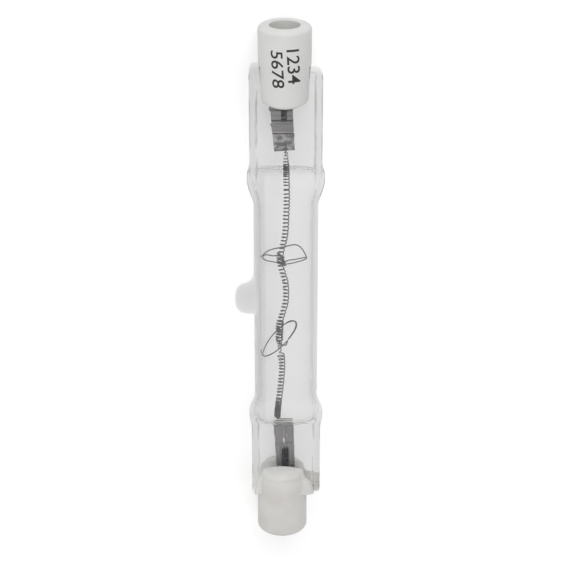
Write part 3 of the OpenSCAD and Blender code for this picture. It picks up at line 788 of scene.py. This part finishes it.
def cementPiece(side, name, node):
    c = cement[side]
    shift, slotFloor = cap["shift"][side], cap["slotFloor"][side]
    toe, rim = cap["legEnd"][side] - c["toe"], quartz["pinchEnd"] + quartz["longer"][side] * 0.9
    pinchTop = quartz["pinchHalf"][1]
    nx, ny = cement["grid"]
    points, faces = [], []
    for face in (1, -1):
        low, high, heights = (c[face][key] for key in ("low", "high", "heights"))
        top, foot = [], []
        first, end = len(points), rim + c[face].get("over", -0.02)
        for i in range(nx + 1):
            x = mixed(toe, end, i / nx)
            a, b = onLine(low, x), onLine(high, x)
            for j in range(ny + 1):
                y = mixed(a, b, j / ny)
                edges = [rounded(gap, cement["roundness"]) for gap in (y - a, b - y)]
                share = eased((y - a) / (b - a))
                height = mixed(heights[0] * edges[0], heights[1] * edges[1], share)
                leg = math.sqrt(max(capWall(side, x) ** 2 - (y - shift) ** 2, 0)) - pinchTop
                height = max(height, min(leg - cement["margin"], c["fill"]) * min(edges))
                height *= rounded(x - toe)
                lump = noise.noise(Vector((x * cement["grain"], y * cement["grain"], face * 3)))
                height += c["lump"] * lump * min(height * 3, 1)
                out = x + cap["crown"] * ((y - shift) / 3.6) ** 2 * (1 - i / nx)
                rib = ribRise(y)
                top.append((side * out, y, face * (pinchTop + rib + max(height, 0) + 0.01)))
                foot.append((side * out, y, face * (cement["foot"] + rib)))
        points += top + foot
        faces += sheetFaces(nx, ny, first)
    # the end slab between the pinch and the slot, and a spill over the pinch's far corner
    pinchEnd, skew = quartz["pinchEnd"] + quartz["longer"][side], quartz["skew"][side]
    slotZ, half = cap["slotHalf"] + 0.02, cement["slabHalf"]
    slabs = [(shift - half, shift + half, -slotZ, slotZ, slotFloor + 0.05)]
    if side == right:
        y0, y1, z0, z1, over = cement["spill"]
        slabs.append((y0, y1, z0, z1, pinchEnd + over))
    for y0, y1, z0, z1, outer in slabs:
        corner = len(points)
        for z in (z0, z1):
            points += [(side * (pinchEnd + skew * y0 - 0.1), y0, z), (side * outer, y0, z),
                       (side * outer, y1, z), (side * (pinchEnd + skew * y1 - 0.1), y1, z)]
        faces += [tuple(corner + k for k in f) for f in (
            (0, 1, 2, 3), (7, 6, 5, 4), (0, 4, 5, 1), (1, 5, 6, 2), (2, 6, 7, 3), (3, 7, 4, 0))]
    keep(name, outward(meshOf(name, points, faces)), "cement", node, 40)


cementPiece(left, "leftCement", "left_cement")
cementPiece(right, "rightCement", "right_cement")
print("cement made")


# Wires: a round section carried along a path, with the place along it kept for the finish
def wirePiece(name, path, r, material, node, sides=8):
    path = [Vector(p) for p in path]
    count = len(path)
    heads = [(path[min(i + 1, count - 1)] - path[max(i - 1, 0)]).normalized() for i in range(count)]
    u = heads[0].orthogonal().normalized()
    points, along, length = [], [], 0
    for i, (p, t) in enumerate(zip(path, heads)):
        u = (u - t * u.dot(t)).normalized()
        w = t.cross(u)
        width = r(i / (count - 1)) if callable(r) else r
        points += [tuple(p + (u * math.cos(a) + w * math.sin(a)) * width)
                   for a in (2 * math.pi * k / sides for k in range(sides))]
        length += (p - path[i - 1]).length if i else 0
        along.append(length)
    mesh = meshOf(name, points, skinFaces(count, sides))
    layer = mesh.uv_layers.new(name="wire")
    for face in mesh.polygons:
        for loop in face.loop_indices:
            v = mesh.loops[loop].vertex_index
            threads = along[v // sides] / coil["thread"]
            layer.data[loop].uv = (threads * 2 * math.pi, (v % sides) / sides)
    keep(name, mesh, material, node, 60)


# Filament: the places its middle passes, and the steps and widths of its turns along it
coil = {
    "r": 0.4, "wire": 0.15, "tailWire": 0.1, "from": -21.9, "to": 20.2, "rise": 0.185,
    "thread": 0.09, "turnSteps": 24, "wobble": 0.07, "lean": 0.05, "tailEnd": -19.4,
    "loose": [(-math.inf, -19.6, 3), (-3.6, 0.2, 2.6)],
    "bends": [(-21.9, -0.05), (-17.2, 0.08), (-13.9, 0.15), (-11.0, 0.02), (-9.0, -0.04), (-7.14, -0.4),
              (-5.45, -0.88), (-4.2, -0.8), (-3.3, -0.62), (-2.3, -0.22), (-0.96, 0.02), (1.4, 0.04),
              (2.9, -0.28), (4.55, -0.84), (6.95, -0.97), (8.5, -0.95), (9.7, -0.84), (11.0, -0.5),
              (13.4, -0.6), (15.9, -0.83), (18.2, -1.12), (20.35, -1.24)],
    "steps": [(-21.9, 0.6), (-20.4, 0.5), (-19.3, 0.42), (-18.8, 0.27), (-17.6, 0.27), (-17.3, 0.545),
              (7.9, 0.545), (8.1, 0.34), (9.0, 0.34), (9.2, 0.9), (9.8, 0.9), (10.0, 0.545),
              (17.3, 0.545), (17.5, 0.25), (18.7, 0.22), (18.9, 0.165), (20.35, 0.16)],
    "widths": [(-21.9, 0.3), (-21.4, 0.55), (-20.9, 0.6), (-20.2, 0.75), (-19.4, 0.9), (-18.5, 1.0),
               (8.0, 1.0), (8.3, 0.65), (9.1, 0.5), (9.85, 0.35), (10.1, 1.3), (10.6, 1.15),
               (11.2, 1.0), (20.35, 1.0)],
}


def coilY(x):
    return sum(onLine(coil["bends"], x + shift) for shift in (-0.9, -0.45, 0, 0.45, 0.9)) / 5


def coilPiece():
    c, draw = coil, random.Random(7)
    x, angle, path = c["from"], 0.0, []
    steps = c["turnSteps"]
    while x < c["to"]:
        if len(path) % steps == 0:
            wobble, lean = draw.uniform(-c["wobble"], c["wobble"]), draw.uniform(-c["lean"], c["lean"])
        loose = next((much for low, high, much in c["loose"] if low < x < high), 1)
        r = c["r"] * onLine(c["widths"], x)
        path.append((x + lean * loose * math.cos(angle), coilY(x) + r * math.cos(angle),
                     c["rise"] + r * math.sin(angle)))
        x += onLine(c["steps"], x) * (1 + wobble) / steps
        angle += 2 * math.pi / steps
    tail = sum(p[0] < c["tailEnd"] for p in path) / len(path)
    wirePiece("coiledFilament", path,
              lambda share: mixed(c["tailWire"], c["wire"], eased(share / tail - 0.3)) / 2,
              "coil", "filament")


coilPiece()
print("filament made")


# Supports: each is one wire with a clasp round the coil, and a ring that nears the tube's wall
support = {
    "wire": 0.16,
    "leftClasp": {"from": -5.75, "to": -4.1, "r": 0.44, "grow": 0.2, "turns": 5.5, "tilt": 0.34,
                  "start": 90},
    "rightClasp": {"from": 4.6, "to": 7.75, "r": 0.48, "grow": 0.02, "turns": 7.5, "tilt": 0.17,
                   "start": 20},
    "ringX": 7.5, "ringY": -0.91, "ringR": 3.32, "lean": math.radians(43.8), "bow": 0.08,
}


# Smooth curve through the given places
def smoothPath(places, steps=6):
    places = [Vector(p) for p in places]
    path = []
    for i in range(len(places) - 1):
        a, b = places[max(i - 1, 0)], places[i]
        c, d = places[i + 1], places[min(i + 2, len(places) - 1)]
        for k in range(steps):
            t = k / steps
            path.append(0.5 * ((2 * b) + (c - a) * t + (2 * a - 5 * b + 4 * c - d) * t * t
                               + (3 * b - a - 3 * c + d) * t ** 3))
    return path + [places[-1]]


def claspPath(clasp, seed):
    draw = random.Random(seed)
    count = round(20 * clasp["turns"])
    path, swell = [], 0
    for i in range(count + 1):
        if i % 10 == 0:
            swell = draw.uniform(-0.05, 0.06)
        x = mixed(clasp["from"], clasp["to"], i / count)
        a = math.radians(clasp["start"]) + 2 * math.pi * clasp["turns"] * i / count
        grown = clasp["grow"] * i / count
        r = clasp["r"] + grown + swell * math.sin(math.pi * (i % 10) / 10)
        path.append((x + clasp["tilt"] * math.cos(a + 0.6), coilY(x) + grown + r * math.cos(a),
                     coil["rise"] + r * math.sin(a)))
    return path


def leftSupport():
    clasp = claspPath(support["leftClasp"], 2)
    arm = smoothPath([(-5.42, -3.25, 0.1), (-5.6, -2.9, 0.02), (-5.6, -2.39, 0.1), (-5.58, -1.67, 0.35),
                      clasp[0]])
    ring = smoothPath([
        clasp[-1], (-5.05, 0.3, 0.75), (-5.2, 1.13, 0.8), (-5.33, 2.02, 0.65), (-5.3, 2.75, 0.2),
        (-4.75, 2.95, -1.1), (-5.25, 2.56, -1.92), (-5.68, 2.11, -2.41), (-5.84, 1.57, -2.79),
        (-5.78, 1.01, -3.04), (-5.5, 0.16, -3.2), (-5.32, -0.84, -3.09), (-5.3, -1.69, -2.72),
        (-5.34, -2.41, -2.11), (-5.36, -3.0, -1.1), (-5.3, -3.28, -0.2), (-5.4, -3.05, 1.0),
        (-5.52, -2.62, 1.85), (-5.68, -1.93, 2.55), (-5.72, -1.24, 2.95), (-5.6, -0.18, 3.19),
        (-5.7, 0.85, 3.09), (-5.76, 2.0, 2.5), (-5.72, 2.52, 1.97), (-5.75, 2.85, 1.46)])
    wirePiece("leftFilamentSupport", arm[:-1] + clasp[:-1] + ring, support["wire"] / 2, "support",
              "left_filament_support")


def rightSupport():
    s = support
    clasp = claspPath(s["rightClasp"], 4)
    ring = []
    for i in range(66):
        a = math.radians(62 + 357 * i / 65)
        reach = (s["ringR"] + s["bow"] * math.sin(3 * a)) * math.cos(a)
        ring.append((s["ringX"] - reach * math.sin(s["lean"]), s["ringY"] + reach * math.cos(s["lean"]),
                     (s["ringR"] - 0.12 * i / 65) * math.sin(a)))
    x, y, z = clasp[-1]
    arm = smoothPath([clasp[-1], (8.25, -0.45, 0.75), (7.95, 0.02, 1.15), (7.7, -0.05, 1.9),
                      (7.2, 0.1, 2.5), ring[0], ring[2]])
    path = clasp[:-1] + arm[:-1] + ring[2:]
    thick = (len(path) - 1 - 65 * 59 / 357) / (len(path) - 1)
    wirePiece("rightFilamentSupport", path,
              lambda share: s["wire"] / 2 * (1 + 0.6 * math.exp(-((share - thick) / 0.05) ** 2)),
              "support", "right_filament_support")


leftSupport()
rightSupport()
print("supports made")


# Foils: thin sheets with the edges, creases and ripples of the picture. Distances are outward
foil = {
    "t": 0.05,
    left: {
        "ends": (21.17, 28.5), "skew": (0.1, 0.0),
        "low": [(21.0, -1.59), (23.7, -1.83), (24.7, -1.98), (24.97, -2.2), (25.2, -1.98), (26.8, -2.1),
                (27.15, -2.36), (27.4, -2.3), (28.5, -2.25)],
        "high": [(21.0, 1.25), (23.0, 1.1), (23.4, 1.2), (23.7, 1.08), (26.8, 0.95), (28.5, 0.88)],
        "creases": [(23.72, 0.12, 0.09), (25.5, 0.10, 0.08), (25.15, -0.05, 0.2), (27.0, 0.06, 0.06),
                    (22.6, 0.05, 0.18), (21.9, -0.05, 0.12)],
    },
    right: {
        "ends": (20.6, 29.1), "skew": (0.0, -0.14),
        "low": [(20.6, -1.25), (20.9, -1.45), (21.2, -1.9), (21.5, -2.0), (21.85, -1.8), (25.0, -1.62),
                (29.1, -1.32)],
        "high": [(20.6, 1.05), (20.8, 1.0), (21.0, 0.88), (21.3, 0.95), (21.85, 1.13), (28.7, 1.31)],
        "creases": [(20.7, 0.04, 0.08), (21.01, 0.06, 0.1), (21.7, 0.06, 0.1), (24.6, 0.05, 0.16),
                    (25.1, -0.04, 0.14), (28.55, 0.07, 0.1)],
    },
}


def foilPiece(side, name, node, material):
    f = foil[side]
    nx, ny = 130, 44
    draw = random.Random(3 if side < 0 else 5)
    ragged = [draw.uniform(-0.035, 0.035) for _ in range(nx + 1)]
    ends = [draw.uniform(-0.06, 0.06) for _ in range(ny + 1)]
    top, low = [], []
    for i in range(nx + 1):
        for j in range(ny + 1):
            share, across = i / nx, 2 * j / ny - 1
            x = mixed(*f["ends"], share)
            lowY, highY = onLine(f["low"], x), onLine(f["high"], x)
            half = (highY - lowY) / 2 + ragged[i] * abs(across)
            y = (lowY + highY) / 2 + half * across
            lift = sum(h * math.exp(-((x - at + 0.07 * math.sin(across * 2.3)) / w) ** 2)
                       for at, h, w in f["creases"])
            if side > 0:
                lift += 0.014 * math.sin(across * 19 + 0.6 * math.sin(share * 5))
            else:
                lift += 0.05 * noise.noise(Vector((x * 2.2, y * 2.2, 7))) * eased((23.7 - x) / 0.5)
            lift += 0.02 * noise.noise(Vector((x * 0.9, y * 1.1, side * 4)))
            x += mixed(*f["skew"], share) * across
            x += ends[j] * max(0, abs(share - 0.5) * 2 - 0.97) / 0.03
            thin = foil["t"] / 2 * (1 - 0.8 * abs(across) ** 6)
            top.append((side * x, y, lift + thin))
            low.append((side * x, y, lift - thin))
    mesh = outward(meshOf(name, top + low, sheetFaces(nx, ny, 0)))
    keep(name, mesh, material, node, 60)


foilPiece(left, "leftFoil", "left_foil", "leftFoil")
foilPiece(right, "rightFoil", "right_foil", "rightFoil")

lead = {
    "stemHalf": (0.35, 0.35), "rise": 0.36, "stemRise": 0.495, "stemEnd": 34.9, "groove": 0.11,
    left: {"from": 25.55, "weldEnd": 28.5, "y": -0.26, "stemY": -0.25, "weldHalf": (0.4, 0.2),
           "gaps": [(25.95, 0.1), (26.45, 0.1)], "split": 0},
    right: {"from": 25.7, "weldEnd": 29.55, "y": -0.1, "stemY": -0.05, "weldHalf": (0.5, 0.27),
            "gaps": [(26.45, 0.09), (26.95, 0.1), (27.5, 0.12), (28.1, 0.1)], "split": 0.2},
    "innerD": 0.14, "innerLap": 1.3,
}


# Outer lead: crushed into blocks where it is welded to the foil, and split at the foil's end
def outerLeadPiece(side, name, node, material):
    w = lead[side]
    start, end = w["from"], lead["stemEnd"]
    count, sides = 220, 40
    points = []
    for i in range(count + 1):
        x = mixed(start, end, (i / count) ** 1.6)
        crushed = 1 - eased((x - w["weldEnd"] + 0.3) / 0.6)
        near = math.sqrt(min(0.15 + (x - start) / 0.12, 1))
        split = w["split"] * math.exp(-((x - w["weldEnd"] + 0.75) / 0.5) ** 2)
        bite = min(sum(math.exp(-((x - at) / wide) ** 2) for at, wide in w["gaps"]), 1)
        halves = [mixed(*pair, crushed) for pair in zip(lead["stemHalf"], w["weldHalf"])]
        for k in range(sides):
            a = 2 * math.pi * k / sides
            py, pz = (math.copysign(abs(v) ** mixed(1, 0.55, crushed), v) * half
                      for v, half in zip((math.cos(a), math.sin(a)), halves))
            middle = math.exp(-(py / 0.09) ** 2)
            py *= 1 - 0.22 * bite * crushed
            pz -= crushed * (lead["groove"] * (bite + middle) + split * middle) * (pz > 0.05)
            points.append((side * x, mixed(w["stemY"], w["y"], crushed) + py * near,
                           mixed(lead["stemRise"], lead["rise"], crushed) + pz * near))
    mesh = outward(meshOf(name, points, skinFaces(count + 1, sides)))
    keep(name, mesh, material, node, 40)


outerLeadPiece(left, "leftOuterLead", "left_outer_lead", "paleLead")
outerLeadPiece(right, "rightOuterLead", "right_outer_lead", "outerLead")


def innerLeadPiece(side, name, node):
    y = coilY(coil["from"] if side < 0 else coil["to"])
    foilEdge = foil[side]["ends"][0]
    start = foilEdge - (0.7 if side < 0 else 1.6)
    path = smoothPath([(side * start, y, coil["rise"]), (side * (foilEdge - 0.4), y, 0.12),
                       (side * (foilEdge + 0.2), y, -0.1),
                       (side * (foilEdge + lead["innerLap"]), y - 0.05, -0.12)], 10)
    wirePiece(name, path, lead["innerD"] / 2, "innerLead", node, 12)


innerLeadPiece(left, "leftInnerLead", "left_inner_lead")
innerLeadPiece(right, "rightInnerLead", "right_inner_lead")
print("foils and leads made")


# Plain numbers printed on the upper cap, in two rows along the lamp
numbers = {
    "rows": [("1234", -36.6, 0.2, 4.75, 1.78), ("5678", -36.4, -1.98, 5.1, 1.68)],
    "proud": 0.012, "slice": 0.12, "slant": 0.055, "bold": 0.008,
}


def numberPiece(index, word, x0, y0, length, high):
    curve = bpy.data.curves.new("number", "FONT")
    curve.body = word
    curve.offset = numbers["bold"]
    curve.resolution_u = 8
    made = placed("number", curve)
    mesh = workedOut(made)
    bpy.data.objects.remove(made)
    bm = bmesh.new()
    bm.from_mesh(mesh)
    xs, ys = [v.co.x for v in bm.verts], [v.co.y for v in bm.verts]
    sx, sy = length / (max(xs) - min(xs)), high / (max(ys) - min(ys))
    for v in bm.verts:
        v.co = Vector(((v.co.x - min(xs)) * sx, (v.co.y - min(ys)) * sy, 0))
    cuts = int(high / numbers["slice"])
    for i in range(1, cuts):
        bmesh.ops.bisect_plane(bm, geom=bm.verts[:] + bm.edges[:] + bm.faces[:],
                               plane_co=(0, high * i / cuts, 0), plane_no=(0, 1, 0))
    sheet = bmesh.ops.extrude_face_region(bm, geom=bm.faces[:])["geom"]
    for v in (g for g in sheet if isinstance(g, bmesh.types.BMVert)):
        v.co.z = 1
    for v in bm.verts:
        x, y, up = v.co
        r = capWall(left, -(x0 + x)) - 0.02 + (numbers["proud"] + 0.02) * up
        a = (y0 + y + numbers["slant"] * x) / r
        v.co = lie(x0 + x, cap["shift"][left] + r * math.sin(a), r * math.cos(a))
    bm.to_mesh(mesh)
    bm.free()
    keep(f"capNumber{index}", outward(mesh), "ink")


for index, row in enumerate(numbers["rows"], 1):
    numberPiece(index, *row)
print("numbers made")


# 1 for what the camera sees straight, in metal or through glass
def seenDirectly(f):
    camera, glossy, through = (f.node("ShaderNodeLightPath", out=f"Is {kind} Ray")
                               for kind in ("Camera", "Glossy", "Transmission"))
    return camera.most(glossy).most(through)


# White floor that keeps the lamp's soft shadow
def floorFinish():
    f = newFinish("floor")
    matt = f.shine(Base_Color=(0.78, 0.78, 0.78), Roughness=1.0, Specular_IOR_Level=0.0)
    glow = f.node("ShaderNodeEmission", None, {"Color": (1, 1, 1), "Strength": 0.42})
    both = f.node("ShaderNodeAddShader", None, [matt, glow])
    return f.show(f.node("ShaderNodeMixShader", None, [seenDirectly(f), matt, both]))


floorMesh = bpy.data.meshes.new("floor")
reach = 3.0
floorMesh.from_pydata([(x * reach, y * reach, 0) for x, y in ((-1, -1), (1, -1), (1, 1), (-1, 1))],
                      [], [(0, 1, 2, 3)])
floorMesh.materials.append(floorFinish())
floor = placed("floor", floorMesh)


# A round light that faces the lamp
def lampLight(name, place, size, power):
    data = bpy.data.lights.new(name, "AREA")
    data.shape, data.size, data.energy = "DISK", size, power
    made = placed(name, data)
    made.location = place
    made.rotation_euler = (-Vector(place)).to_track_quat("-Z", "Y").to_euler()


lampLight("softTop", (-0.72, -0.22, 0.46), 0.8, 3.3)
lampLight("softSide", (0.35, -0.5, 0.45), 0.6, 0.5)

world = bpy.data.worlds.new("studio")
scene.world = world
f = Finish(world, "ShaderNodeOutputWorld")
plain = f.node("ShaderNodeBackground", None, {"Color": (0.6, 0.6, 0.6)})
white = f.node("ShaderNodeBackground", None, {"Color": (1, 1, 1)})
f.show(f.node("ShaderNodeMixShader", None, [seenDirectly(f), plain, white]))
scene.view_settings.view_transform = "Standard"
print("light set")
